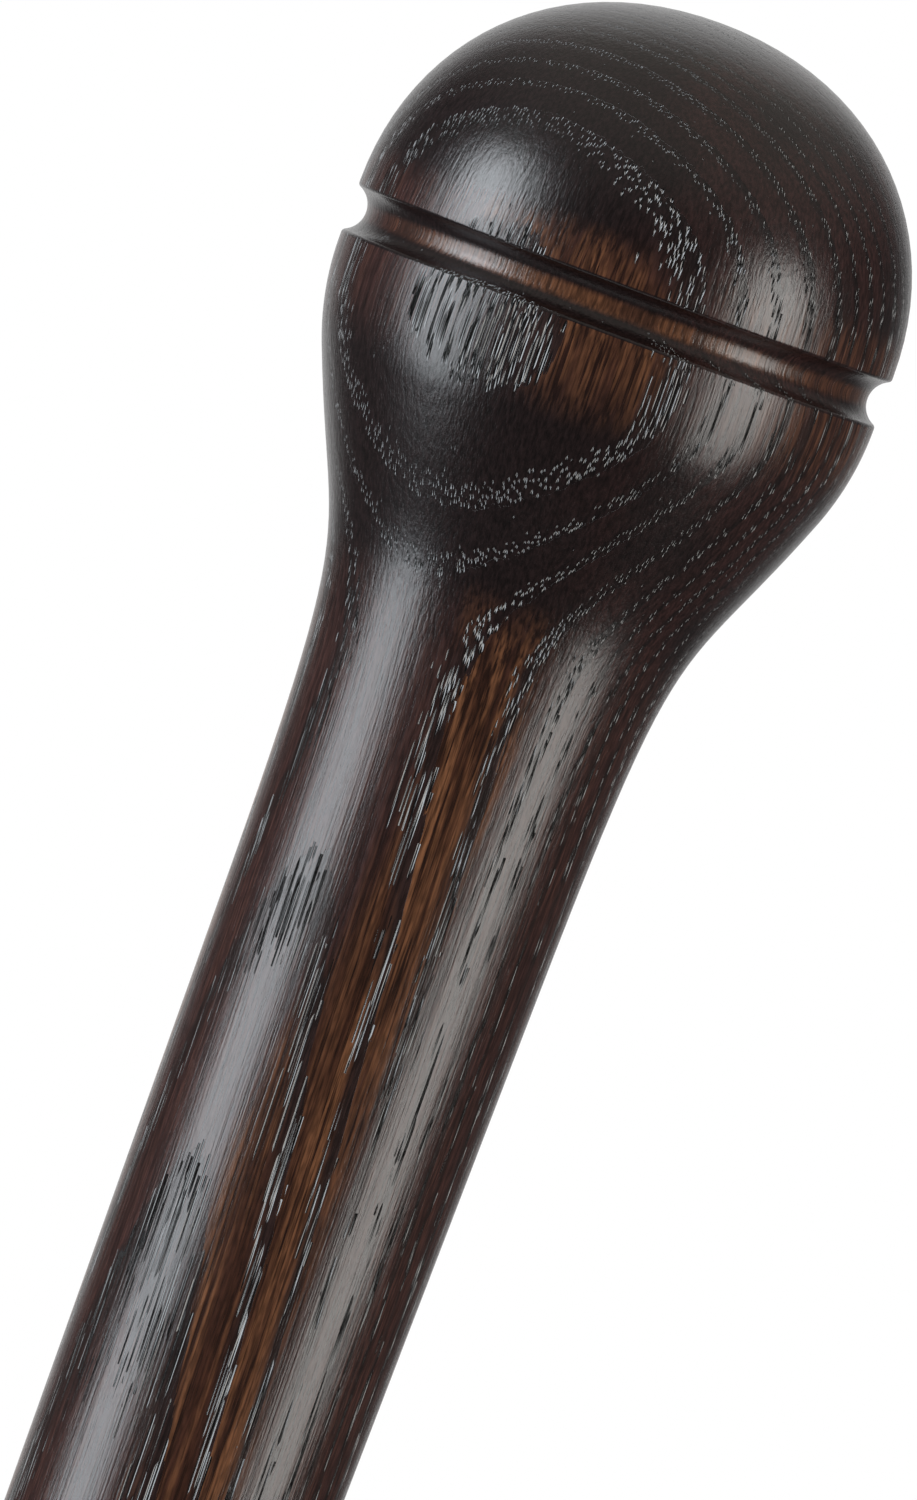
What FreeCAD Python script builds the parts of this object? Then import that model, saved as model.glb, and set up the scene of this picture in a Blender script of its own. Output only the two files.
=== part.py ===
import FreeCAD, Part

import math
import os

# Wooden walking stick: one turned ash stick, a moulded rubber ferrule and its steel washer.
# Millimetres. +Z runs up the stick, and the origin is the middle of the ferrule's sole.

# Whole stick
OVERALL_LENGTH = 920.0          # ground to the top of the knob

# Knob
KNOB_DIAMETER = 48.0
DOME_HEIGHT = 22.85             # top of the knob down to its full width
DOME_CROWN_SHARE = 0.622        # how far the flat crown reaches out, of the knob's radius
DOME_SIDE_SHARE = 0.552         # how far the steep side reaches up, of the dome's height
GROOVE_DEPTH = 1.4
GROOVE_COVE_RADIUS = 2.1
GROOVE_LIP_RADIUS = 0.4
GROOVE_LAND = 0.25              # straight band left on each side of the groove
LOWER_KNOB_RADIUS = 25.2        # arc that starts the knob's underside
LOWER_KNOB_TURN = 21.1          # degrees of that arc

# Neck and shaft
NECK_LENGTH = 53.8              # lower edge of the band to the top of the shaft
NECK_DIAMETER = 28.3
NECK_TOP_SHARE = 0.39           # reach of the sweep's upper end, of its straight length
NECK_FOOT_SHARE = 0.742         # reach of its lower end
TIP_DIAMETER = 19.0
TIP_SEAT_LENGTH = 34.0          # parallel end that takes the ferrule
TIP_CHAMFER = 0.8

# Washer at the bottom of the ferrule's socket
WASHER_THICKNESS = 1.6
WASHER_HOLE_DIAMETER = 6.5
WASHER_GRIP = 0.55              # how far the rubber laps over the washer's rim
WASHER_PLAY = 0.1               # gap between the rubber and the washer's rim and top

# Rubber ferrule
FERRULE_HEIGHT = 44.0
FERRULE_BASE_DIAMETER = 38.0
SOLE_THICKNESS = 10.0           # rubber under the washer
BASE_BAND_HEIGHT = 6.0          # upright edge round the foot
BASE_EDGE_BEVEL = 0.8
SOCKET_CLEARANCE = 0.05         # on the radius, between the tip and the socket
SOCKET_LEAD_IN = 0.9
COLLAR_WALL = 3.6
COLLAR_HEIGHT = 17.0
COLLAR_RIM_BEVEL = 1.2
RING_COUNT = 3                  # raised rings round the collar
RING_WIDTH = 2.0
RING_HEIGHT = 0.9               # how far it stands out
FLARE_BEND_HEIGHT_SHARE = 0.36  # where the flare's steep and shallow cones meet
FLARE_BEND_REACH_SHARE = 0.3    # how far out they meet, between collar and foot
RIB_COUNT = 12                  # buttress ribs between collar and foot
RIB_WIDTH = 1.8
RIB_EDGE_SETBACK = 1.3          # from the foot's edge to the rib's foot
RIB_TOP_SINK = 0.4              # how far the rib's top runs into the collar
TREAD_COUNT = 2                 # round grooves in the sole
TREAD_DEPTH = 1.8
TREAD_GROOVE_WIDTH = 2.4

# Places that follow from the sizes
knob_radius = KNOB_DIAMETER / 2
neck_radius = NECK_DIAMETER / 2
tip_radius = TIP_DIAMETER / 2
base_radius = FERRULE_BASE_DIAMETER / 2
socket_radius = tip_radius + SOCKET_CLEARANCE
collar_radius = socket_radius + COLLAR_WALL
washer_pocket_radius = socket_radius + WASHER_GRIP
washer_radius = washer_pocket_radius - WASHER_PLAY
washer_top = SOLE_THICKNESS + WASHER_THICKNESS
collar_foot = FERRULE_HEIGHT - COLLAR_HEIGHT
lip_centre_radius = knob_radius - GROOVE_LIP_RADIUS
cove_centre_radius = knob_radius - GROOVE_DEPTH + GROOVE_COVE_RADIUS
cove_to_lip = GROOVE_COVE_RADIUS + GROOVE_LIP_RADIUS
groove_half_height = math.sqrt(cove_to_lip ** 2 - (cove_centre_radius - lip_centre_radius) ** 2)
dome_foot = OVERALL_LENGTH - DOME_HEIGHT
groove_middle = dome_foot - GROOVE_LAND - groove_half_height
band_foot = groove_middle - groove_half_height - GROOVE_LAND


def at(radius, height):
    """Point in the plane that is turned about the stick's axis."""
    return FreeCAD.Vector(radius, 0, height)


def straight(start, end):
    return Part.LineSegment(start, end).toShape()


def arc(centre, radius, start_angle, end_angle):
    """Arc in the turning plane, with angles in degrees from straight outwards."""
    points = []
    for angle in (start_angle, (start_angle + end_angle) / 2, end_angle):
        out = radius * math.cos(math.radians(angle))
        up = radius * math.sin(math.radians(angle))
        points.append(centre + at(out, up))
    return Part.Arc(*points).toShape()


def sweep(*poles):
    """Smooth curve that leaves and reaches its ends along its first and last legs."""
    curve = Part.BezierCurve()
    curve.setPoles(list(poles))
    return curve.toShape()


def turned(edges):
    """Solid of revolution from a closed outline."""
    face = Part.Face(Part.Wire(edges))
    return face.revolve(FreeCAD.Vector(0, 0, 0), FreeCAD.Vector(0, 0, 1), 360)


def turned_polygon(corners):
    edges = []
    for start, end in zip(corners, corners[1:] + corners[:1]):
        edges.append(straight(start, end))
    return turned(edges)


def end_of(edge):
    return edge.valueAt(edge.LastParameter)


def groove():
    """Cove between two rounded lips, from the upper lip down to the lower one."""
    lip_turn = math.degrees(math.atan2(groove_half_height, cove_centre_radius - lip_centre_radius))
    half_turn = 180
    upper_centre = at(lip_centre_radius, groove_middle + groove_half_height)
    cove_centre = at(cove_centre_radius, groove_middle)
    lower_centre = at(lip_centre_radius, groove_middle - groove_half_height)
    return [
        arc(upper_centre, GROOVE_LIP_RADIUS, 0, -lip_turn),
        arc(cove_centre, GROOVE_COVE_RADIUS, half_turn - lip_turn, half_turn + lip_turn),
        arc(lower_centre, GROOVE_LIP_RADIUS, lip_turn, 0),
    ]


def knob():
    """Outline of the dome, the grooved band and the start of the knob's underside."""
    dome = sweep(
        at(0, OVERALL_LENGTH),
        at(knob_radius * DOME_CROWN_SHARE, OVERALL_LENGTH),
        at(knob_radius, dome_foot + DOME_HEIGHT * DOME_SIDE_SHARE),
        at(knob_radius, dome_foot),
    )
    underside_centre = at(knob_radius - LOWER_KNOB_RADIUS, band_foot)
    return [
        dome,
        straight(at(knob_radius, dome_foot), at(knob_radius, dome_foot - GROOVE_LAND)),
        *groove(),
        straight(at(knob_radius, band_foot + GROOVE_LAND), at(knob_radius, band_foot)),
        arc(underside_centre, LOWER_KNOB_RADIUS, 0, -LOWER_KNOB_TURN),
    ]


def neck_and_shaft(neck_top):
    """Outline from the knob's underside through the neck and down the taper to the tip's seat."""
    shaft_top = at(neck_radius, band_foot - NECK_LENGTH)
    seat_top = at(tip_radius, washer_top + TIP_SEAT_LENGTH)
    bend = at(tip_radius, (shaft_top.z + seat_top.z) / 2)
    turn = math.radians(LOWER_KNOB_TURN)
    down_the_knob = at(-math.sin(turn), -math.cos(turn))
    down_the_shaft = (bend - shaft_top).normalize()
    straight_length = (shaft_top - neck_top).Length
    neck = sweep(
        neck_top,
        neck_top + down_the_knob * (straight_length * NECK_TOP_SHARE),
        shaft_top - down_the_shaft * (straight_length * NECK_FOOT_SHARE),
        shaft_top,
    )
    return [neck, sweep(shaft_top, bend, seat_top)]


def turned_stick():
    """Knob, groove, neck, shaft and tip, turned from one length of ash."""
    upper = knob()
    lower = neck_and_shaft(end_of(upper[-1]))
    chamfer_top = at(tip_radius, washer_top + TIP_CHAMFER)
    chamfer_foot = at(tip_radius - TIP_CHAMFER, washer_top)
    return turned([
        *upper,
        *lower,
        straight(end_of(lower[-1]), chamfer_top),
        straight(chamfer_top, chamfer_foot),
        straight(chamfer_foot, at(0, washer_top)),
        straight(at(0, washer_top), at(0, OVERALL_LENGTH)),
    ])


def steel_washer():
    """Flat washer that stops the tip from cutting through the rubber."""
    disc = Part.makeCylinder(washer_radius, WASHER_THICKNESS, at(0, SOLE_THICKNESS))
    hole = Part.makeCylinder(WASHER_HOLE_DIAMETER / 2, WASHER_THICKNESS, at(0, SOLE_THICKNESS))
    return disc.cut(hole)


def ferrule_body():
    """Foot, flare and collar of the ferrule, before the socket is opened."""
    edge = BASE_EDGE_BEVEL
    rim = COLLAR_RIM_BEVEL
    bend_radius = collar_radius + (base_radius - edge - collar_radius) * FLARE_BEND_REACH_SHARE
    bend_height = BASE_BAND_HEIGHT + (collar_foot - BASE_BAND_HEIGHT) * FLARE_BEND_HEIGHT_SHARE
    return turned_polygon([
        at(0, 0),
        at(base_radius - edge, 0),
        at(base_radius, edge),
        at(base_radius, BASE_BAND_HEIGHT - edge),
        at(base_radius - edge, BASE_BAND_HEIGHT),
        at(bend_radius, bend_height),
        at(collar_radius, collar_foot),
        at(collar_radius, FERRULE_HEIGHT - rim),
        at(collar_radius - rim, FERRULE_HEIGHT),
        at(0, FERRULE_HEIGHT),
    ])


def collar_rings():
    """Raised rings, evenly spaced up the collar."""
    rings = []
    usable = COLLAR_HEIGHT - COLLAR_RIM_BEVEL
    for index in range(RING_COUNT):
        middle = collar_foot + usable * (index + 0.5) / RING_COUNT
        foot = at(0, middle - RING_WIDTH / 2)
        rings.append(Part.makeCylinder(collar_radius + RING_HEIGHT, RING_WIDTH, foot))
    return rings


def buttress_ribs():
    """Thin webs that stiffen the flare, in a ring round the ferrule."""
    ribs = []
    foot_radius = base_radius - RIB_EDGE_SETBACK
    corners = [
        at(socket_radius, BASE_BAND_HEIGHT - BASE_EDGE_BEVEL),
        at(foot_radius, BASE_BAND_HEIGHT - BASE_EDGE_BEVEL),
        at(foot_radius, BASE_BAND_HEIGHT),
        at(collar_radius - RIB_TOP_SINK, collar_foot),
        at(socket_radius, collar_foot),
    ]
    side = Part.Face(Part.makePolygon(corners + corners[:1]))
    side.translate(FreeCAD.Vector(0, -RIB_WIDTH / 2, 0))
    rib = side.extrude(FreeCAD.Vector(0, RIB_WIDTH, 0))
    for index in range(RIB_COUNT):
        turned_rib = rib.copy()
        turned_rib.rotate(at(0, 0), FreeCAD.Vector(0, 0, 1), 360 * index / RIB_COUNT)
        ribs.append(turned_rib)
    return ribs


def socket_cutters():
    """Socket, its lead-in, and the pocket that the washer snaps into."""
    pocket_height = WASHER_THICKNESS + WASHER_PLAY
    lead_in_foot = at(0, FERRULE_HEIGHT - SOCKET_LEAD_IN)
    lead_in_radius = socket_radius + SOCKET_LEAD_IN
    return [
        Part.makeCylinder(socket_radius, FERRULE_HEIGHT - washer_top, at(0, washer_top)),
        Part.makeCylinder(washer_pocket_radius, pocket_height, at(0, SOLE_THICKNESS)),
        Part.makeCone(socket_radius, lead_in_radius, SOCKET_LEAD_IN, lead_in_foot),
    ]


def tread_cutters():
    """Round grooves in the sole that grip the ground."""
    cutters = []
    for index in range(TREAD_COUNT):
        middle = base_radius * (index + 1) / (TREAD_COUNT + 1)
        inner = middle - TREAD_GROOVE_WIDTH / 2
        outer = middle + TREAD_GROOVE_WIDTH / 2
        cutters.append(turned_polygon([
            at(inner, 0),
            at(outer, 0),
            at(outer, TREAD_DEPTH),
            at(inner, TREAD_DEPTH),
        ]))
    return cutters


def rubber_ferrule():
    """Moulded foot: treaded sole, ribbed flare and ringed collar round the socket."""
    body = ferrule_body().multiFuse(collar_rings() + buttress_ribs())
    body = body.cut(Part.makeCompound(socket_cutters()))
    body = body.cut(Part.makeCompound(tread_cutters()))
    return body.removeSplitter()


def save(name, shape):
    """One piece to its own file, after a look at its soundness."""
    solids = shape.Solids
    print(name, "solids", len(solids), "valid", shape.isValid(), "volume", round(shape.Volume, 1))
    piece = solids[0] if len(solids) == 1 else shape
    piece.exportStep(os.path.join("parts", name + ".step"))


os.makedirs("parts", exist_ok=True)
save("turned_stick", turned_stick())
save("rubber_ferrule", rubber_ferrule())
save("steel_washer", steel_washer())
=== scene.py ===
import math

import bpy
from mathutils import Matrix, Vector


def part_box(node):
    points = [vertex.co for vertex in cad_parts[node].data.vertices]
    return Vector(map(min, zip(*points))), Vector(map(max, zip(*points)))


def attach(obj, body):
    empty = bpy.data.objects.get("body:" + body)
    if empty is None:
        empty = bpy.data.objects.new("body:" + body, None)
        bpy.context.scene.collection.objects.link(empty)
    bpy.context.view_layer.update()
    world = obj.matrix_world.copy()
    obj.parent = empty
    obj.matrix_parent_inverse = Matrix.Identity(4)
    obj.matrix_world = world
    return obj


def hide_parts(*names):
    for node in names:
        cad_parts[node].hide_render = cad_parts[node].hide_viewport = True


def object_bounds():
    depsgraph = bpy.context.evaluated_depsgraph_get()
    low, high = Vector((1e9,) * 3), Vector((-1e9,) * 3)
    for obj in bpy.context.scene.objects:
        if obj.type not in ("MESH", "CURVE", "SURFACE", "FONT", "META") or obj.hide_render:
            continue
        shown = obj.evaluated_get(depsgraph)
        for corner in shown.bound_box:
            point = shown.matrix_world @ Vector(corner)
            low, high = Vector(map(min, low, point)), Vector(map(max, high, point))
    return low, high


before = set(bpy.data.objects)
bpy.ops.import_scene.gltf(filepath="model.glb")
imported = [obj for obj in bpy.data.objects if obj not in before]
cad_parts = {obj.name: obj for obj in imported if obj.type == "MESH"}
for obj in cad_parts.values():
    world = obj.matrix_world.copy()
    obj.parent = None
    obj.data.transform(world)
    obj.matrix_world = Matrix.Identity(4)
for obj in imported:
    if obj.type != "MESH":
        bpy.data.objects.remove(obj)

cad_low, cad_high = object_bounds()

# The turned stick: knob, groove, neck, shaft and tip are one piece of ring-porous ash, turned from a
# square blank, stained almost black, rubbed back so that the late wood shows brown, and lacquered satin.
# Down the front that brown is partly a painted sheen, and on the groove's floor partly a painted reflection.
# Its outline is the solid's own, laid out in radius and height, in metres from the ground up.

MM = 0.001
TOP = cad_high.z
KNOB_RADIUS = 24.0 * MM
DOME_HEIGHT = 22.85 * MM
DOME_CROWN_SHARE = 0.622
DOME_SIDE_SHARE = 0.552
GROOVE_DEPTH = 1.4 * MM
GROOVE_COVE_RADIUS = 2.1 * MM
GROOVE_LIP_RADIUS = 0.4 * MM
GROOVE_LAND = 0.25 * MM
LOWER_KNOB_RADIUS = 25.2 * MM
LOWER_KNOB_TURN = math.radians(21.1)
NECK_LENGTH = 53.8 * MM
NECK_RADIUS = 14.15 * MM
NECK_TOP_SHARE = 0.39
NECK_FOOT_SHARE = 0.742
TIP_RADIUS = 9.5 * MM
TIP_SEAT_LENGTH = 34.0 * MM
TIP_CHAMFER = 0.8 * MM
STICK_FACETS = 144
STICK_SPAN_STEPS = 24
STICK_SHARP_EDGE = math.radians(30)
SEAM = 1e-6  # points nearer than this are welded where the turned sheet closes


class Outline:
    """A lathe outline of smooth cubic spans in (radius, height). A span is its two handles and its end."""

    EASE_REACH = 0.55

    def __init__(self, radius, height):
        self.start = (radius, height)
        self.spans = []

    @property
    def end(self):
        return self.spans[-1][2] if self.spans else self.start

    def sweep(self, first_handle, second_handle, end):
        self.spans.append((first_handle, second_handle, end))
        return self

    def straight(self, radius, height):
        here = self.end
        third = ((radius - here[0]) / 3, (height - here[1]) / 3)
        first = (here[0] + third[0], here[1] + third[1])
        second = (radius - third[0], height - third[1])
        return self.sweep(first, second, (radius, height))

    def arc(self, centre, size, start_angle, end_angle):
        """Round stretch about a centre, with angles in radians from straight outwards."""
        reach = 4 / 3 * math.tan((end_angle - start_angle) / 4) * size
        spots = []
        for angle, way in ((start_angle, reach), (end_angle, -reach)):
            spot = (centre[0] + size * math.cos(angle), centre[1] + size * math.sin(angle))
            handle = (spot[0] - way * math.sin(angle), spot[1] + way * math.cos(angle))
            spots.append((spot, handle))
        return self.sweep(spots[0][1], spots[1][1], spots[1][0])

    def moulded(self, *corners):
        """Straight runs between corners. A corner is (radius, height, ease), rounded off over its ease."""
        spots = [Vector(self.end)] + [Vector(corner[:2]) for corner in corners]
        for number, (radius, height, ease) in enumerate(corners, 1):
            if ease and number < len(corners):
                here = spots[number]
                start = here + (spots[number - 1] - here).normalized() * ease
                end = here + (spots[number + 1] - here).normalized() * ease
                first = start.lerp(here, self.EASE_REACH)
                second = end.lerp(here, self.EASE_REACH)
                self.straight(*start)
                self.sweep(tuple(first), tuple(second), tuple(end))
            else:
                self.straight(radius, height)
        return self

    def curve(self, name, span_steps):
        """The outline as a curve object in the plane of X and Z."""
        data = bpy.data.curves.new(name, "CURVE")
        data.dimensions = "3D"
        data.resolution_u = span_steps
        spline = data.splines.new("BEZIER")
        spline.bezier_points.add(len(self.spans))
        ends = [self.start] + [span[2] for span in self.spans]
        after = [span[0] for span in self.spans] + [ends[-1]]
        before = [ends[0]] + [span[1] for span in self.spans]
        for point, spot, handle_in, handle_out in zip(spline.bezier_points, ends, before, after):
            point.handle_left_type = point.handle_right_type = "FREE"
            point.co = (spot[0], 0, spot[1])
            point.handle_left = (handle_in[0], 0, handle_in[1])
            point.handle_right = (handle_out[0], 0, handle_out[1])
        piece = bpy.data.objects.new(name, data)
        bpy.context.scene.collection.objects.link(piece)
        return piece


def stick_outline():
    lip_centre = KNOB_RADIUS - GROOVE_LIP_RADIUS
    cove_centre = KNOB_RADIUS - GROOVE_DEPTH + GROOVE_COVE_RADIUS
    cove_to_lip = GROOVE_COVE_RADIUS + GROOVE_LIP_RADIUS
    groove_half = math.sqrt(cove_to_lip ** 2 - (cove_centre - lip_centre) ** 2)
    lip_turn = math.atan2(groove_half, cove_centre - lip_centre)
    dome_foot = TOP - DOME_HEIGHT
    groove_middle = dome_foot - GROOVE_LAND - groove_half
    band_foot = groove_middle - groove_half - GROOVE_LAND
    tip_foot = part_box("turned_stick")[0].z

    outline = Outline(0, TOP)
    outline.sweep(
        (KNOB_RADIUS * DOME_CROWN_SHARE, TOP),
        (KNOB_RADIUS, dome_foot + DOME_HEIGHT * DOME_SIDE_SHARE),
        (KNOB_RADIUS, dome_foot),
    )
    outline.straight(KNOB_RADIUS, dome_foot - GROOVE_LAND)
    outline.arc((lip_centre, groove_middle + groove_half), GROOVE_LIP_RADIUS, 0, -lip_turn)
    outline.arc((cove_centre, groove_middle), GROOVE_COVE_RADIUS, math.pi - lip_turn, math.pi + lip_turn)
    outline.arc((lip_centre, groove_middle - groove_half), GROOVE_LIP_RADIUS, lip_turn, 0)
    outline.straight(KNOB_RADIUS, band_foot)
    outline.arc((KNOB_RADIUS - LOWER_KNOB_RADIUS, band_foot), LOWER_KNOB_RADIUS, 0, -LOWER_KNOB_TURN)

    neck_top = outline.end
    shaft_top = (NECK_RADIUS, band_foot - NECK_LENGTH)
    seat_top = (TIP_RADIUS, tip_foot + TIP_SEAT_LENGTH)
    half_way = (shaft_top[1] + seat_top[1]) / 2
    taper = math.atan2(NECK_RADIUS - TIP_RADIUS, shaft_top[1] - half_way)
    span = math.dist(neck_top, shaft_top)
    first = span * NECK_TOP_SHARE
    second = span * NECK_FOOT_SHARE
    outline.sweep(
        (neck_top[0] - first * math.sin(LOWER_KNOB_TURN), neck_top[1] - first * math.cos(LOWER_KNOB_TURN)),
        (shaft_top[0] + second * math.sin(taper), shaft_top[1] + second * math.cos(taper)),
        shaft_top,
    )
    two_thirds = 2 / 3
    bend = (TIP_RADIUS, half_way)
    outline.sweep(
        tuple(a + (b - a) * two_thirds for a, b in zip(shaft_top, bend)),
        tuple(a + (b - a) * two_thirds for a, b in zip(seat_top, bend)),
        seat_top,
    )
    outline.straight(TIP_RADIUS, tip_foot + TIP_CHAMFER)
    outline.straight(TIP_RADIUS - TIP_CHAMFER, tip_foot)
    outline.straight(0, tip_foot)
    return outline


class Wire:
    """One output socket of a node tree, on which sums are written as plain Python."""

    def __init__(self, tree, socket):
        self.tree = tree
        self.socket = socket

    def of(self, name):
        """Another output of the same node."""
        return Wire(self.tree, self.socket.node.outputs[name])

    def math(self, operation, *others):
        return add(self.tree, "ShaderNodeMath", {"operation": operation}, self, *others)

    def vector(self, operation, *others):
        return add(self.tree, "ShaderNodeVectorMath", {"operation": operation}, self, *others)

    def __add__(self, other):
        return self.math("ADD", other)

    __radd__ = __add__

    def __sub__(self, other):
        return self.math("SUBTRACT", other)

    def __rsub__(self, other):
        return self.math("MULTIPLY_ADD", -1.0, other)

    def __mul__(self, other):
        return self.math("MULTIPLY", other)

    __rmul__ = __mul__

    def __truediv__(self, other):
        return self.math("DIVIDE", other)

    def __rtruediv__(self, other):
        return self.math("POWER", -1.0) * other

    def __pow__(self, other):
        return self.math("POWER", other)

    def __gt__(self, other):
        return self.math("GREATER_THAN", other)

    def __lt__(self, other):
        return self.math("LESS_THAN", other)

    def fade(self, start, end, low=0.0, high=1.0):
        """Smooth change from low at start to high at end."""
        settings = {"interpolation_type": "SMOOTHSTEP"}
        if start < end:
            return add(self.tree, "ShaderNodeMapRange", settings, self, start, end, low, high)
        return add(self.tree, "ShaderNodeMapRange", settings, self, end, start, high, low)

    def window(self, start, full, last, end):
        """1 from full to last, and a smooth fall to 0 at start and at end."""
        return self.fade(start, full) * self.fade(end, last)

    def flat(self):
        """A vector without its upright part."""
        return self.vector("MULTIPLY", (1.0, 1.0, 0.0))

    def length(self):
        return self.vector("LENGTH").of("Value")


def add(tree, kind, settings=None, *values, **named):
    """A new node with its settings, then its sockets in order or by name. Returns its first output.

    The setting called points holds the corners of a float curve.
    """
    node = tree.nodes.new(kind)
    for name, value in (settings or {}).items():
        if name == "points":
            curve = node.mapping.curves[0]
            for spot in value[2:]:
                curve.points.new(*spot)
            for point, spot in zip(curve.points, sorted(value)):
                point.location = spot
                point.handle_type = "VECTOR"
            node.mapping.update()
        else:
            setattr(node, name, value)
    pairs = list(zip([s for s in node.inputs if s.enabled], values))
    pairs += [(node.inputs[name.replace("_", " ")], value) for name, value in named.items()]
    for socket, value in pairs:
        if isinstance(value, Wire):
            tree.links.new(value.socket, socket)
        else:
            socket.default_value = value
    outputs = [s for s in node.outputs if s.enabled]
    return Wire(tree, outputs[0]) if outputs else node


def lathe_tree():
    """Turns an outline round the upright axis. The input is the outline as a curve, from the top down."""
    tree = bpy.data.node_groups.new("Turn on the lathe", "GeometryNodeTree")
    face = tree.interface
    face.new_socket("Outline", in_out="INPUT", socket_type="NodeSocketGeometry")
    for name, kind in (("Facets", "Int"), ("Sharp Edge", "Float"), ("Seam", "Float"), ("Finish", "Material")):
        face.new_socket(name, in_out="INPUT", socket_type="NodeSocket" + kind)
    face.new_socket("Turned", in_out="OUTPUT", socket_type="NodeSocketGeometry")
    given = add(tree, "NodeGroupInput")

    line = add(tree, "GeometryNodeCurveToMesh", None, given)
    rows = add(tree, "GeometryNodeAttributeDomainSize", {"component": "MESH"}, line)
    index = add(tree, "GeometryNodeInputIndex")
    column = (index / rows).math("FLOOR")
    spot = add(
        tree, "GeometryNodeSampleIndex", {"data_type": "FLOAT_VECTOR"}, line,
        add(tree, "GeometryNodeInputPosition"), index.math("MODULO", rows),
    )
    outline = add(tree, "ShaderNodeSeparateXYZ", None, spot)
    angle = column / given.of("Facets") * (-2 * math.pi)
    turned = add(
        tree, "ShaderNodeCombineXYZ", None,
        outline * angle.math("COSINE"), outline * angle.math("SINE"), outline.of("Z"),
    )

    sheet = add(tree, "GeometryNodeMeshGrid", None, 1.0, 1.0, given.of("Facets") + 1, rows)
    body = add(tree, "GeometryNodeSetPosition", None, sheet, True, turned)
    body = add(tree, "GeometryNodeMergeByDistance", None, body, True, given.of("Seam"))
    body = add(tree, "GeometryNodeSetShadeSmooth", {"domain": "FACE"}, body, True, True)
    sharp = add(tree, "GeometryNodeInputMeshEdgeAngle") > given.of("Sharp Edge")
    body = add(tree, "GeometryNodeSetShadeSmooth", {"domain": "EDGE"}, body, sharp, False)
    body = add(tree, "GeometryNodeRealizeInstances", None, body)
    body = add(tree, "GeometryNodeSetMaterial", None, body, True, given.of("Finish"))
    add(tree, "NodeGroupOutput", None, body)
    return tree


def made_by(tree, source, name, **inputs):
    """A plain mesh object of what a geometry tree makes of the source, which is used up."""
    modifier = source.modifiers.new(tree.name, "NODES")
    modifier.node_group = tree
    for socket in tree.interface.items_tree:
        if socket.in_out == "INPUT" and socket.name.replace(" ", "_") in inputs:
            modifier[socket.identifier] = inputs[socket.name.replace(" ", "_")]
    source.update_tag()
    seen = bpy.context.evaluated_depsgraph_get()
    piece = bpy.data.objects.new(name, bpy.data.meshes.new_from_object(source.evaluated_get(seen)))
    piece.data.name = name
    bpy.context.scene.collection.objects.link(piece)
    bpy.data.objects.remove(source)
    return piece


def linear(red, green, blue):
    """A colour as a screen shows it, from 0 to 255, as the linear colour that a shader takes."""
    parts = (value / 255 for value in (red, green, blue))
    return tuple(v / 12.92 if v <= 0.04045 else ((v + 0.055) / 1.055) ** 2.4 for v in parts) + (1.0,)


def blend_colours(factor, first, second):
    return add(factor.tree, "ShaderNodeMix", {"data_type": "RGBA"}, factor, first, second)


def bare_material(name):
    """A new material with an empty node tree, and the place of the shaded point in millimetres."""
    finish = bpy.data.materials.new(name)
    finish.use_nodes = True
    finish.node_tree.nodes.clear()
    place = add(finish.node_tree, "ShaderNodeTexCoord").of("Object")
    return finish, finish.node_tree, place.vector("SCALE", 1 / MM)


def noise(vector, across, along, detail=2.0, roughness=0.5):
    """Soft noise whose spots are so many millimetres wide and, along the upright axis, so many long."""
    stretched = vector.vector("MULTIPLY", (1 / across, 1 / across, 1 / along))
    return add(vector.tree, "ShaderNodeTexNoise", None, stretched, 1.0, detail, roughness)


# The ash material works in millimetres. Depths are measured down from the crown, and turns are in radians
# round from the front, with the right-hand side positive. A year starts at each of these radii from the
# pith, which runs behind the stick and to its right, and leans away from it on the way down. Five radii
# (37.65, 40.9, 44.44, 46.5 and 48.23) and the six numbers of the pith's course were fitted to ring lines
# read off the real knob. The others were chosen.
RING_RADII = (
    0, 3, 6.4, 9.6, 12.5, 15.6, 18.4, 21, 23.8, 26.3, 28.6, 31.2, 33.3, 35.5, 37.65, 39.3, 40.9, 42.4, 44.44,
    46.5, 48.23, 50, 53.3, 57.6, 60.2, 62.4, 64.8, 67.2, 70, 72.6, 75.4, 78.2, 81,
)
PITH_EASE = 100.0
PITH_X = (13.08, -15.04, 60.32)
PITH_Y = (24.08, 16.12, -11.44)
RING_WAVER = 0.6

# Fibres and pores stand more upright than the pith. These shares of its course, across and in depth, are
# taken out of theirs, and they bend back by the bow on their way down the knob.
FIBRE_STRAIGHTNESS = (0.7, 0.85)
FIBRE_BOW = 2.6
FIBRE_BOW_DEPTHS = (18.0, 48.0)

PORE_SPACING = 0.29
PORE_RADIUS = 0.072
PORE_STRETCH = 28.0
PORE_SOFTNESS = 0.03
PORE_ROUGHNESS = 0.18
PORE_IOR = 1.68
CROWDED_SHARE = 0.26
EARLY_SHARE = 0.42
STRAY_PORES = 0.012
SIDE_TO_END = (0.15, 0.5)  # the upright share of the surface's normal, from side grain to end grain
LATE_START = (0.12, 0.42)  # the shares of a year over which late wood sets in

# These belong to this one stick: the floor of the groove, whose brown is partly rubbed and partly a painted
# reflection, a window left of the knob's middle with more and wider pores, and the edges of the band down
# the front, whose brown is partly rubbed stain and partly a painted sheen.
COVE_TOP = (DOME_HEIGHT + GROOVE_LAND) / MM
COVE_DEPTHS = (COVE_TOP, COVE_TOP + 0.4, COVE_TOP + 3.0, COVE_TOP + 3.8)
SKIN_DEPTHS = (25.0, 26.0, 32.0, 36.5)
SKIN_TURNS = (-1.0, -0.8, -0.3, -0.1)
BAND_LEFT = math.radians(-13)
BAND_RIGHT = math.radians(15)

# The two browns of rubbed late wood below also colour a painted sheen down the front and a painted reflection
# on the groove's floor.
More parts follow.
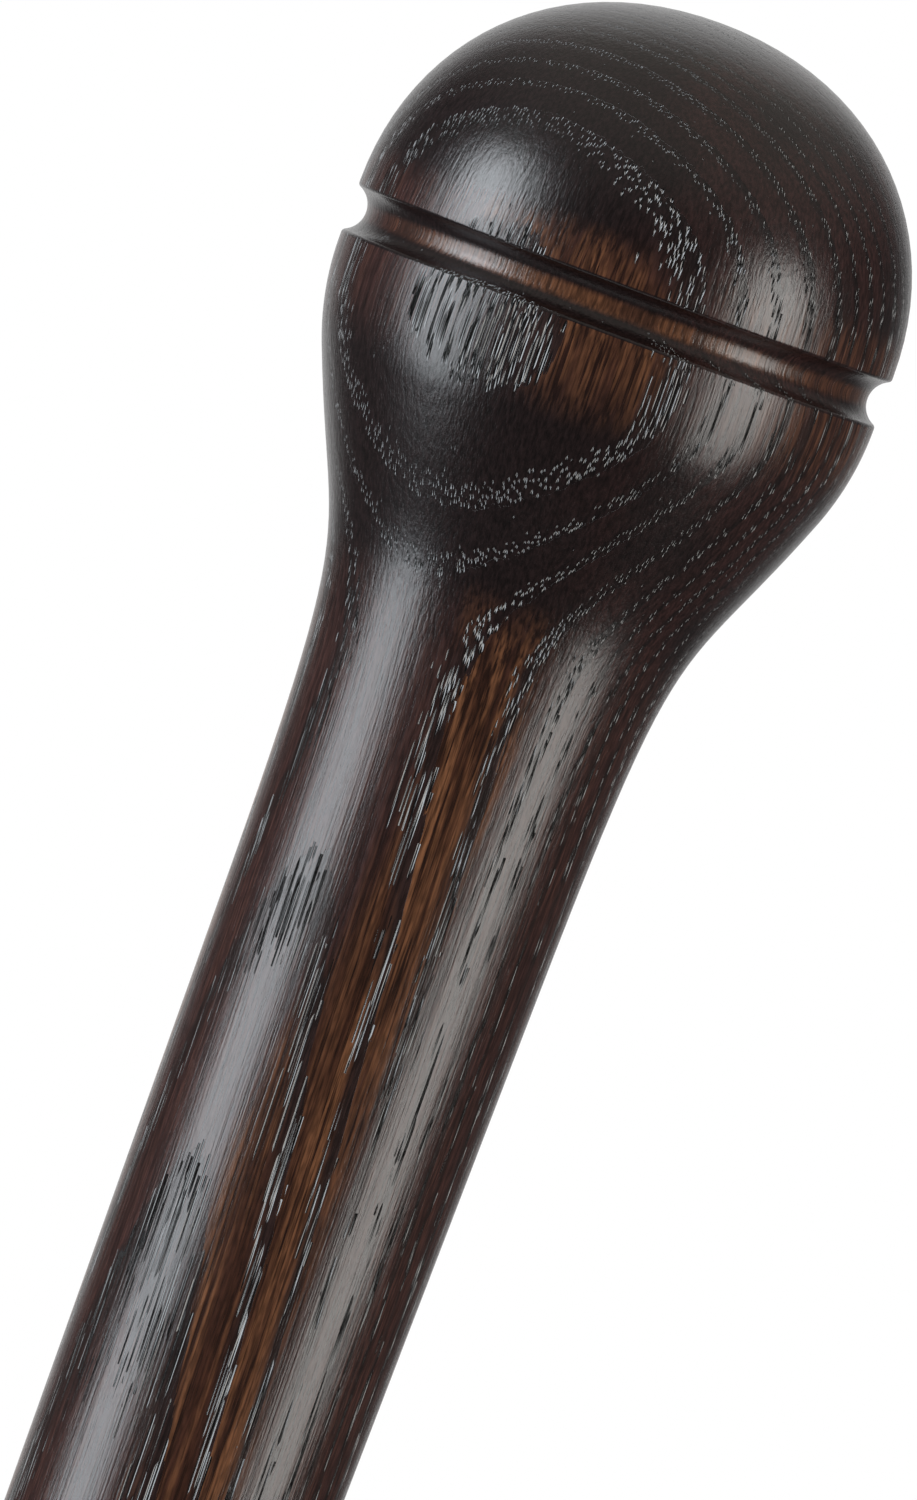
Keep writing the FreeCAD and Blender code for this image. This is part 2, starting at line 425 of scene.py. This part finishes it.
STAIN_LATE_AND_SHEEN = linear(109, 71, 47)
STAIN_LATE_DEEP = linear(52, 31, 29)
STAIN_RUBBED_AND_SHEEN = linear(47, 24, 13)
STAIN_EARLY = linear(38, 25, 23)
STAIN_END = linear(26, 17, 17)
STAIN_PORE = linear(7, 6, 6)
LACQUER_ROUGHNESS = 0.25
LACQUER_IOR = 1.5


class Spot:
    """Where a shaded point of the stick lies, as wires, and which way its surface faces."""

    def __init__(self, place):
        parts = add(place.tree, "ShaderNodeSeparateXYZ", None, place)
        normal = add(place.tree, "ShaderNodeTexCoord").of("Normal")
        self.place = place
        self.depth = TOP / MM - parts.of("Z")
        self.turn = parts.math("ARCTAN2", parts.of("Y") * -1.0)
        self.rise = add(place.tree, "ShaderNodeSeparateXYZ", None, normal).of("Z")
        self.end_grain = self.rise.math("ABSOLUTE")
        self.cove = self.depth.window(*COVE_DEPTHS)


def seen_from_pith(spot):
    """A point as measured from the pith, and what has to be added to that for the straighter fibres."""
    ease = spot.depth / (spot.depth + PITH_EASE)
    pith_x = (ease * PITH_X[2] + PITH_X[1]) * ease + PITH_X[0]
    pith_y = (ease * PITH_Y[2] + PITH_Y[1]) * ease + PITH_Y[0]
    pith = add(ease.tree, "ShaderNodeCombineXYZ", None, pith_x, pith_y, 0.0)
    waver = noise(spot.place, 14, 40, 2.0).of("Color").vector("SUBTRACT", (0.5, 0.5, 0.5))
    waver = waver.vector("MULTIPLY", (RING_WAVER, RING_WAVER, 0.0))
    bow = spot.depth.fade(*FIBRE_BOW_DEPTHS, 0.0, FIBRE_BOW)
    straighten = add(
        ease.tree, "ShaderNodeCombineXYZ", None,
        pith_x * FIBRE_STRAIGHTNESS[0], pith_y * FIBRE_STRAIGHTNESS[1] - bow, 0.0,
    )
    return spot.place.vector("SUBTRACT", pith).vector("ADD", waver), straighten


def ring_count(from_pith):
    """How many years lie between the pith and a point, with the part of the last one."""
    last = len(RING_RADII) - 1
    points = [(radius / RING_RADII[-1], number / last) for number, radius in enumerate(RING_RADII)]
    share = from_pith.flat().length() / RING_RADII[-1]
    return add(share.tree, "ShaderNodeFloatCurve", {"points": points}, 1.0, share) * last


def open_pores(spot, fibres, straighten):
    """How far a point lies in an open pore, from 0 to 1, and the way that the pore's wall faces there.

    Rows of pores start sharply with the year and thin out through its early wood. A pore is a narrow
    channel along the fibres. Its walls lean to its own middle, so it glints where the wood round it is
    dark, and stays dark inside the highlights.
    """
    cell_size = (PORE_SPACING, PORE_SPACING, PORE_SPACING * PORE_STRETCH)
    cells = fibres.vector("DIVIDE", cell_size)
    pores = add(fibres.tree, "ShaderNodeTexVoronoi", None, cells, Scale=1.0, Randomness=0.9)
    middle = pores.of("Position").vector("MULTIPLY", cell_size)
    chance = add(fibres.tree, "ShaderNodeSeparateColor", None, pores.of("Color"))

    end_grain = spot.end_grain
    skin = spot.depth.window(*SKIN_DEPTHS) * spot.turn.window(*SKIN_TURNS)
    year = ring_count(middle.vector("SUBTRACT", straighten)).math("FRACT")
    season = year * end_grain.fade(*SIDE_TO_END, 1.0, 1.4) * (1.0 - skin * 0.5)
    crowd = season.fade(CROWDED_SHARE, EARLY_SHARE, 0.97, 0.0) + STRAY_PORES
    present = chance.of("Red") < crowd * end_grain.fade(*SIDE_TO_END, 0.85, 1.0) * (1 - spot.cove)

    offset = middle.vector("SUBTRACT", fibres)
    to_middle = offset.flat()
    reach = to_middle.length()
    size = (chance.of("Green") * 0.4 + 0.75) * year.fade(0.0, 0.5, 1.05, 0.6) * PORE_RADIUS
    size = size * (end_grain.fade(*SIDE_TO_END, 1.8, 1.0) + skin * 0.5)
    half_length = PORE_SPACING * PORE_STRETCH / 2
    along = add(fibres.tree, "ShaderNodeSeparateXYZ", None, offset).of("Z").math("ABSOLUTE")
    size = size * along.fade(half_length * 1.1, half_length * 0.85)
    inside = ((reach - size) / PORE_SOFTNESS).fade(0.5, -0.5) * present

    outwards = spot.place.flat().vector("NORMALIZE")
    lean = (reach / size) * end_grain.fade(*SIDE_TO_END, 0.5, 0.7) + end_grain.fade(*SIDE_TO_END, 0.45, 0.0)
    lean = add(fibres.tree, "ShaderNodeCombineXYZ", None, lean, lean, lean)
    wall = to_middle.vector("NORMALIZE").vector("MULTIPLY", lean).vector("ADD", outwards)
    to_world = {"vector_type": "NORMAL", "convert_from": "OBJECT", "convert_to": "WORLD"}
    wall = add(fibres.tree, "ShaderNodeVectorTransform", to_world, wall)
    return inside, wall.vector("NORMALIZE")


def rubbed_and_sheen_share(spot, turn):
    """How far the late wood shows brown, from 0.06 upwards: partly stain rubbed back, partly painted sheen.

    It was rubbed in a band down the front, whose left edge shifts twice on the way down, on the floor of the
    groove, in patches behind, and a little on the right of the knob. Down the front the brown is partly a
    painted sheen, and on the groove's floor partly a painted reflection.
    """
    # The band down the front, where the late wood's brown is partly a painted sheen.
    left = spot.depth.fade(45.0, 60.0, BAND_LEFT, BAND_LEFT + 0.12) + spot.depth.fade(72.0, 105.0, 0.0, -0.18)
    band = (turn - left).fade(-0.14, 0.06) * turn.fade(BAND_RIGHT + 0.16, BAND_RIGHT - 0.06)
    aside = turn.math("ABSOLUTE")
    behind = noise(spot.place, 9.0, 220.0, 2.0).fade(0.50, 0.60) * aside.fade(1.3, 1.65)
    knob_right = turn.fade(0.5, 0.8) * spot.depth.fade(50.0, 40.0) * 0.35
    rubbed = band.math("MAXIMUM", behind.math("MAXIMUM", knob_right))
    # On the groove's floor, facing the front, the brown is partly a painted reflection.
    rubbed = rubbed.math("MAXIMUM", spot.cove * aside.fade(1.2, 0.5))
    return rubbed * spot.depth.fade(20.0, 50.0, 0.6, 0.9) * spot.depth.fade(85.0, 110.0, 1.0, 0.85) + 0.06


def stain(spot, fibres, fibre, streak, late):
    """The stain's colour.

    Late wood takes less stain on side grain, and where it was rubbed it shows brown in streaks. Down the
    front this brown is partly a painted sheen, and on the groove's floor partly a painted reflection. End
    grain drinks the stain and stays nearly black.
    """
    patch = noise(spot.place, 9.0, 30.0, 2.0)
    side = (spot.rise * 1.5).math("MAXIMUM", spot.rise * -0.72).fade(0.24, 0.03)
    # The groove's floor counts as side grain, so that its painted reflection shows brown.
    side = side.math("MAXIMUM", spot.cove * spot.end_grain.fade(0.45, 0.15))
    turn = spot.turn + (patch - 0.5) * 0.4 + spot.depth.fade(20.0, 26.0, 0.32, 0.0)
    # How far the late wood shows brown: stain rubbed back, with painted sheen down the front and painted
    # reflection on the groove's floor.
    rubbed = rubbed_and_sheen_share(spot, turn)
    lines = fibre.fade(0.35, 0.55) * streak.fade(0.36, 0.58)
    lines = lines * noise(fibres, 2.4, 34.0, 2.0).fade(0.34, 0.52, 0.4, 1.0)
    # The brown streaks of late wood, partly painted sheen down the front and painted reflection on the
    # groove's floor.
    brown_and_painted_sheen = late * side * rubbed * (lines.math("MAXIMUM", spot.cove * 0.75) * 0.92 + 0.06)
    reddish = patch.fade(0.35, 0.6) * turn.fade(-0.1, 0.6) * 0.62

    colour = blend_colours(side, STAIN_END, STAIN_EARLY)
    colour = blend_colours(late * (side * 0.75).math("MAXIMUM", reddish), colour, STAIN_LATE_DEEP)
    # These browns are partly painted sheen in the band down the front and painted reflection on the groove's
    # floor.
    colour = blend_colours(late * side * rubbed * 0.8, colour, STAIN_RUBBED_AND_SHEEN)
    colour = blend_colours(brown_and_painted_sheen, colour, STAIN_LATE_AND_SHEEN)
    fleck = noise(fibres, 0.22, 1.6, 1.0)
    shade = fibre.fade(0.3, 0.65, 0.6, 1.3) * fleck.fade(0.3, 0.7, 0.7, 1.3)
    grey = add(fibres.tree, "ShaderNodeCombineXYZ", None, shade, shade, shade)
    return colour.vector("MULTIPLY", grey)


def stained_ash():
    finish, tree, point = bare_material("stained_ash")
    spot = Spot(point)
    from_pith, straighten = seen_from_pith(spot)
    fibres = from_pith.vector("ADD", straighten)
    fibre = noise(fibres, 0.3, 14.0, 2.0, 0.65)
    streak = noise(fibres, 1.0, 45.0, 3.0, 0.6)
    grain = noise(fibres, 0.11, 0.5, 2.0, 0.7)
    years = ring_count(from_pith) + (streak - 0.5) * 0.3
    # On the groove's floor every point counts at least half as late wood, for the painted reflection there.
    late = years.math("FRACT").fade(*LATE_START).math("MAXIMUM", spot.cove * 0.5)

    height = fibre * 0.035 + streak * 0.02 + grain * 0.012 + late * 0.008
    wood = add(
        tree, "ShaderNodeBsdfPrincipled", None, Base_Color=stain(spot, fibres, fibre, streak, late),
        Roughness=fibre * 0.06 + (LACQUER_ROUGHNESS - 0.03), IOR=LACQUER_IOR,
        Normal=add(tree, "ShaderNodeBump", None, Strength=1.0, Distance=MM, Height=height),
    )
    inside, wall = open_pores(spot, fibres, straighten)
    pore = add(
        tree, "ShaderNodeBsdfPrincipled", None, Base_Color=STAIN_PORE, Roughness=PORE_ROUGHNESS,
        IOR=PORE_IOR, Normal=wall,
    )
    shader = add(tree, "ShaderNodeMixShader", None, inside, wood, pore)
    add(tree, "ShaderNodeOutputMaterial", None, shader)
    return finish


LATHE = lathe_tree()
stick = made_by(
    LATHE, stick_outline().curve("stick_outline", STICK_SPAN_STEPS), "ash_stick",
    Facets=STICK_FACETS, Sharp_Edge=STICK_SHARP_EDGE, Seam=SEAM, Finish=stained_ash(),
)
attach(stick, "stick")
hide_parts("turned_stick")


# The ferrule: one moulding of black rubber with a treaded sole, a ribbed flare and a ringed collar. It is
# pushed over the tip. Every edge is eased as it comes out of the mould, and the bottom rubs grey.

SOCKET_RADIUS = 9.55 * MM
POCKET_RADIUS = 10.1 * MM
POCKET_FOOT = 10.0 * MM
POCKET_TOP = 11.7 * MM
SOCKET_LEAD_IN = 0.9 * MM
COLLAR_RADIUS = 13.15 * MM
COLLAR_FOOT = 27.0 * MM
COLLAR_RIM_BEVEL = 1.2 * MM
RING_COUNT = 3
RING_WIDTH = 2.0 * MM
RING_HEIGHT = 0.9 * MM
FLARE_BEND = (14.665 * MM, 13.56 * MM)
FLARE_EASE = 4.0 * MM
BASE_BAND_HEIGHT = 6.0 * MM
BASE_BEVEL = 0.8 * MM
TREAD_COUNT = 2
TREAD_DEPTH = 1.8 * MM
TREAD_GROOVE_WIDTH = 2.4 * MM
RIB_COUNT = 12
RIB_COLUMNS = 20
RIB_WIDTH = 1.8 * MM
RIB_EASE = 0.35 * MM
RIB_GATHER = 0.75
RIB_FOOT_SETBACK = 1.3 * MM
RIB_TOP_SETBACK = 0.4 * MM
RIB_MARGIN = 0.1 * MM  # ribs lift what lies out from just inside the collar, and never the socket
FERRULE_SPAN_STEPS = 3
MOULDED_SHARP_EDGE = math.radians(40)
RUBBER_BLACK = linear(27, 27, 28)
RUBBER_BLOOM = linear(50, 50, 52)
RUBBER_RUBBED = linear(84, 82, 78)


def ferrule_outline(top, base_radius):
    outline = Outline(0, POCKET_FOOT)
    corners = [
        (POCKET_RADIUS, POCKET_FOOT, 0.2 * MM),
        (POCKET_RADIUS, POCKET_TOP, 0.2 * MM),
        (SOCKET_RADIUS, POCKET_TOP, 0.15 * MM),
        (SOCKET_RADIUS, top - SOCKET_LEAD_IN, 0.3 * MM),
        (SOCKET_RADIUS + SOCKET_LEAD_IN, top, 0.4 * MM),
        (COLLAR_RADIUS - COLLAR_RIM_BEVEL, top, 0.5 * MM),
        (COLLAR_RADIUS, top - COLLAR_RIM_BEVEL, 0.5 * MM),
    ]
    usable = top - COLLAR_RIM_BEVEL - COLLAR_FOOT
    for number in reversed(range(RING_COUNT)):
        middle = COLLAR_FOOT + usable * (number + 0.5) / RING_COUNT
        above, below = middle + RING_WIDTH / 2, middle - RING_WIDTH / 2
        corners += [
            (COLLAR_RADIUS, above, 0.35 * MM),
            (COLLAR_RADIUS + RING_HEIGHT, above, 0.5 * MM),
            (COLLAR_RADIUS + RING_HEIGHT, below, 0.5 * MM),
            (COLLAR_RADIUS, below, 0.35 * MM),
        ]
    corners += [
        (COLLAR_RADIUS, COLLAR_FOOT, 0.8 * MM),
        (*FLARE_BEND, FLARE_EASE),
        (base_radius - BASE_BEVEL, BASE_BAND_HEIGHT, 0.6 * MM),
        (base_radius, BASE_BAND_HEIGHT - BASE_BEVEL, 0.5 * MM),
        (base_radius, BASE_BEVEL, 0.5 * MM),
        (base_radius - BASE_BEVEL, 0, 0.5 * MM),
    ]
    for number in reversed(range(TREAD_COUNT)):
        middle = base_radius * (number + 1) / (TREAD_COUNT + 1)
        outer, inner = middle + TREAD_GROOVE_WIDTH / 2, middle - TREAD_GROOVE_WIDTH / 2
        corners += [
            (outer, 0, 0.3 * MM), (outer, TREAD_DEPTH, 0.5 * MM),
            (inner, TREAD_DEPTH, 0.5 * MM), (inner, 0, 0.3 * MM),
        ]
    return outline.moulded(*corners, (0, 0, 0))


def rib_tree():
    """Gathers the columns of a turned body at even steps and lifts them to a sloping line as soft ribs."""
    tree = bpy.data.node_groups.new("Raise ribs", "GeometryNodeTree")
    face = tree.interface
    face.new_socket("Body", in_out="INPUT", socket_type="NodeSocketGeometry")
    face.new_socket("Ribs", in_out="INPUT", socket_type="NodeSocketInt")
    sizes = (
        "Gather", "Width", "Ease", "Inside", "Foot Radius", "Foot Height", "Top Radius", "Top Height",
    )
    for name in sizes:
        face.new_socket(name, in_out="INPUT", socket_type="NodeSocketFloat")
    face.new_socket("Finish", in_out="INPUT", socket_type="NodeSocketMaterial")
    face.new_socket("Ribbed", in_out="OUTPUT", socket_type="NodeSocketGeometry")
    given = add(tree, "NodeGroupInput")
    ribs, width, ease = given.of("Ribs"), given.of("Width"), given.of("Ease")
    foot_radius, foot_height = given.of("Foot Radius"), given.of("Foot Height")

    spot = add(tree, "ShaderNodeSeparateXYZ", None, add(tree, "GeometryNodeInputPosition"))
    radius = (spot * spot + spot.of("Y") * spot.of("Y")) ** 0.5
    turn = spot.of("Y").math("ARCTAN2", spot)
    turn = turn - (turn * ribs).math("SINE") * given.of("Gather") / ribs
    step = 2 * math.pi / ribs
    from_rib = (turn - (turn / step).math("ROUND") * step).math("ABSOLUTE") * radius
    slope = (spot.of("Z") - foot_height) / (given.of("Top Height") - foot_height)
    rib_radius = foot_radius + (given.of("Top Radius") - foot_radius) * slope
    web = add(
        tree, "ShaderNodeMapRange", {"interpolation_type": "SMOOTHSTEP"}, from_rib,
        width / 2 - ease, width / 2 + ease, 1.0, 0.0,
    )
    outside = (radius > given.of("Inside")) * (spot.of("Z") > foot_height)
    radius = radius + (rib_radius - radius).math("MAXIMUM", 0.0) * web * outside
    ribbed = add(
        tree, "ShaderNodeCombineXYZ", None,
        radius * turn.math("COSINE"), radius * turn.math("SINE"), spot.of("Z"),
    )
    body = add(tree, "GeometryNodeSetPosition", None, given, True, ribbed)
    body = add(tree, "GeometryNodeRealizeInstances", None, body)
    body = add(tree, "GeometryNodeSetMaterial", None, body, True, given.of("Finish"))
    add(tree, "NodeGroupOutput", None, body)
    return tree


def black_rubber():
    finish, tree, point = bare_material("black_rubber")
    height = add(tree, "ShaderNodeSeparateXYZ", None, point).of("Z")
    mottle = noise(point, 5.0, 5.0, 4.0, 0.6)
    grain = noise(point, 0.3, 0.3, 2.0)
    scuffs = noise(point, 1.2, 6.0, 3.0, 0.7)
    colour = blend_colours(mottle.fade(0.45, 0.7) * 0.6, RUBBER_BLACK, RUBBER_BLOOM)
    rubbed = height.fade(1.6, 0.0) * scuffs.fade(0.35, 0.6)
    colour = blend_colours(rubbed, colour, RUBBER_RUBBED)
    relief = grain * 0.05 + scuffs * rubbed * 0.1
    shader = add(
        tree, "ShaderNodeBsdfPrincipled", None, Base_Color=colour,
        Roughness=mottle.fade(0.3, 0.7, 0.4, 0.56) + rubbed * 0.25, IOR=1.5,
        Normal=add(tree, "ShaderNodeBump", None, Strength=1.0, Distance=MM, Height=relief),
    )
    add(tree, "ShaderNodeOutputMaterial", None, shader)
    return finish


rubber_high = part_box("rubber_ferrule")[1]
ferrule = made_by(
    LATHE, ferrule_outline(rubber_high.z, rubber_high.x).curve("ferrule_outline", FERRULE_SPAN_STEPS),
    "turned_ferrule", Facets=RIB_COUNT * RIB_COLUMNS, Sharp_Edge=MOULDED_SHARP_EDGE, Seam=SEAM,
)
ferrule = made_by(
    rib_tree(), ferrule, "moulded_ferrule",
    Ribs=RIB_COUNT, Gather=RIB_GATHER, Width=RIB_WIDTH, Ease=RIB_EASE, Inside=COLLAR_RADIUS - RIB_MARGIN,
    Foot_Radius=rubber_high.x - RIB_FOOT_SETBACK, Foot_Height=BASE_BAND_HEIGHT,
    Top_Radius=COLLAR_RADIUS - RIB_TOP_SETBACK, Top_Height=COLLAR_FOOT, Finish=black_rubber(),
)
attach(ferrule, "ferrule")
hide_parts("rubber_ferrule")


# The washer: a pressed steel disc, zinc plated, that sits at the bottom of the socket so that the tip can't
# cut through the rubber. It shows when the ferrule is off.

WASHER_HOLE_RADIUS = 3.25 * MM
WASHER_EDGE = 0.3 * MM
WASHER_FACETS = 96
WASHER_SPAN_STEPS = 4
ZINC = linear(190, 190, 186)
ZINC_DULL = linear(140, 140, 138)


def washer_outline(low, high):
    outline = Outline(WASHER_HOLE_RADIUS, (low.z + high.z) / 2)
    return outline.moulded(
        (WASHER_HOLE_RADIUS, high.z, WASHER_EDGE),
        (high.x, high.z, WASHER_EDGE),
        (high.x, low.z, WASHER_EDGE),
        (WASHER_HOLE_RADIUS, low.z, WASHER_EDGE),
        (*outline.start, 0),
    )


def plated_steel():
    finish, tree, point = bare_material("plated_steel")
    dull = noise(point, 2.5, 2.5, 3.0, 0.6)
    fine = noise(point, 0.25, 0.25, 2.0)
    shader = add(
        tree, "ShaderNodeBsdfPrincipled", None, Metallic=1.0,
        Base_Color=blend_colours(dull.fade(0.4, 0.65), ZINC, ZINC_DULL),
        Roughness=dull.fade(0.3, 0.7, 0.24, 0.42),
        Normal=add(tree, "ShaderNodeBump", None, Strength=1.0, Distance=MM, Height=fine * 0.02),
    )
    add(tree, "ShaderNodeOutputMaterial", None, shader)
    return finish


washer = made_by(
    LATHE, washer_outline(*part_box("steel_washer")).curve("washer_outline", WASHER_SPAN_STEPS), "washer",
    Facets=WASHER_FACETS, Sharp_Edge=MOULDED_SHARP_EDGE, Seam=SEAM, Finish=plated_steel(),
)
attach(washer, "ferrule")
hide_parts("steel_washer")


# The floor: plain matt white under the ferrule, which fades out into the white room all round and can be
# seen through from below. It goes down with the ferrule, so that the stick seems to be lifted out of it.

FLOOR_RADIUS = 0.6
FLOOR_SIDES = 72
FLOOR_DROP = 0.1 * MM
UNDER_FERRULE = 17.0  # millimetres from the middle, where the floor is open under the sole
FLOOR_WHITE = (0.8, 0.8, 0.8, 1.0)


def matt_floor():
    finish, tree, point = bare_material("matt_floor")
    reach = point.flat().length()
    behind = add(tree, "ShaderNodeNewGeometry").of("Backfacing")
    shown = (reach * MM / FLOOR_RADIUS).fade(0.97, 0.3) * (1.0 - behind) * (reach > UNDER_FERRULE)
    clear = add(tree, "ShaderNodeBsdfTransparent")
    white = add(tree, "ShaderNodeBsdfDiffuse", None, FLOOR_WHITE)
    add(tree, "ShaderNodeOutputMaterial", None, add(tree, "ShaderNodeMixShader", None, shown, clear, white))
    return finish


floor_mesh = bpy.data.meshes.new("floor")
floor_ring = []
for number in range(FLOOR_SIDES):
    angle = math.radians(360 / FLOOR_SIDES * number)
    floor_ring.append((FLOOR_RADIUS * math.cos(angle), FLOOR_RADIUS * math.sin(angle), -FLOOR_DROP))
floor_mesh.from_pydata(floor_ring, [], [list(range(FLOOR_SIDES))])
floor_mesh.materials.append(matt_floor())
floor = bpy.data.objects.new("floor", floor_mesh)
bpy.context.scene.collection.objects.link(floor)
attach(floor, "ferrule")


# Light and camera: a white room end behind the stick, a tall soft light with a smaller one over it on each
# side, and a long lens a little above the knob, rolled so that the stick leans as in the photograph.

WHITE = (1.0, 1.0, 1.0, 1.0)
CEILING_WARMTH = (1.0, 0.96, 0.88, 1.0)
ROOM_LIGHT = 0.07
CEILING_LIGHT = 0.42
LIGHT_FROM_BELOW = 0.5

# Edges of the room's parts, as shares of a direction's length: upwards for the ceiling, the light below
# and the backdrop's top and foot, and away from the camera for the backdrop's sides.
CEILING_EDGE = (0.30, 0.95)
BELOW_EDGE = (-0.82, -0.95)
BACKDROP_HEIGHT = (0.85, 0.70)
BACKDROP_SIDES = (0.805, 1.04)
BACKDROP_TO_LEFT = 0.08

KNOB_HEIGHT = 0.88
LAMP_DISTANCE = 2.4
COOL_WHITE = (0.885, 0.945, 1.0)
COOL_WHITE_TOP = (0.90, 0.94, 1.0)
WARM_WHITE = (1.0, 0.985, 0.95)
CAMERA_STAND = Vector((0.00053, -0.9, 0.90712))
CAMERA_AIM = Vector((0.00053, 0.0, 0.85472))
CAMERA_ROLL = math.radians(20.36)
CAMERA_LENS = 255.5


def studio_world():
    world = bpy.data.worlds.new("white_room")
    bpy.context.scene.world = world
    world.use_nodes = True
    tree = world.node_tree
    tree.nodes.clear()
    way = add(tree, "ShaderNodeSeparateXYZ", None, add(tree, "ShaderNodeTexCoord"))
    across = (way * way + way.of("Y") * way.of("Y")) ** 0.5 + 0.0001
    backdrop = ((way.of("Y") - way * BACKDROP_TO_LEFT) / across).fade(*BACKDROP_SIDES)
    backdrop = backdrop * way.of("Z").math("ABSOLUTE").fade(*BACKDROP_HEIGHT)
    room = way.of("Z").fade(*CEILING_EDGE) * CEILING_LIGHT + way.of("Z").fade(*BELOW_EDGE) * LIGHT_FROM_BELOW
    room = room + ROOM_LIGHT
    ray = add(tree, "ShaderNodeLightPath")
    seen = ray.of("Is Camera Ray") + (ray.of("Is Glossy Ray") + ray.of("Is Transmission Ray")) * backdrop
    level = room + seen * (1.0 - room)
    colour = blend_colours(way.of("Z").fade(0.2, 0.9) * (1.0 - seen), WHITE, CEILING_WARMTH)
    sky = add(tree, "ShaderNodeBackground", None, colour, level)
    add(tree, "ShaderNodeOutputWorld", None, sky)


def softbox(name, azimuth, elevation, width, height, radiance, colour):
    """A soft oval light turned to the knob, at an azimuth from the camera's side. Angles are in degrees."""
    data = bpy.data.lights.new(name, "AREA")
    data.shape = "ELLIPSE"
    data.size = 2 * LAMP_DISTANCE * math.tan(math.radians(width / 2))
    data.size_y = 2 * LAMP_DISTANCE * math.tan(math.radians(height / 2))
    data.energy = radiance * 4 * (math.pi / 4) * data.size * data.size_y
    data.color = colour
    lamp = bpy.data.objects.new(name, data)
    turn, rise = math.radians(azimuth), math.radians(elevation)
    way = Vector((math.sin(turn) * math.cos(rise), -math.cos(turn) * math.cos(rise), math.sin(rise)))
    lamp.location = Vector((0, 0, KNOB_HEIGHT)) + way * LAMP_DISTANCE
    lamp.rotation_euler = way.to_track_quat("Z", "Y").to_euler()
    lamp.visible_camera = False
    bpy.context.scene.collection.objects.link(lamp)


studio_world()
softbox("left_light", -70, -4, 33, 60, 5.8, COOL_WHITE)
softbox("left_top_light", -66, 13, 32, 26, 3.0, COOL_WHITE_TOP)
softbox("right_light", 64, -2, 30, 52, 4.7, WARM_WHITE)
softbox("right_top_light", 62, 12, 24, 22, 1.7, WARM_WHITE)

camera_data = bpy.data.cameras.new("camera")
camera_data.lens = CAMERA_LENS
camera_data.sensor_width = 36.0
camera_data.clip_start = 0.05
camera = bpy.data.objects.new("camera", camera_data)
bpy.context.scene.collection.objects.link(camera)
bpy.context.scene.camera = camera
look = (CAMERA_AIM - CAMERA_STAND).to_track_quat("-Z", "Y").to_matrix().to_4x4()
camera.matrix_world = Matrix.Translation(CAMERA_STAND) @ look @ Matrix.Rotation(CAMERA_ROLL, 4, "Z")

bpy.context.scene.view_settings.view_transform = "Standard"

bpy.context.view_layer.update()
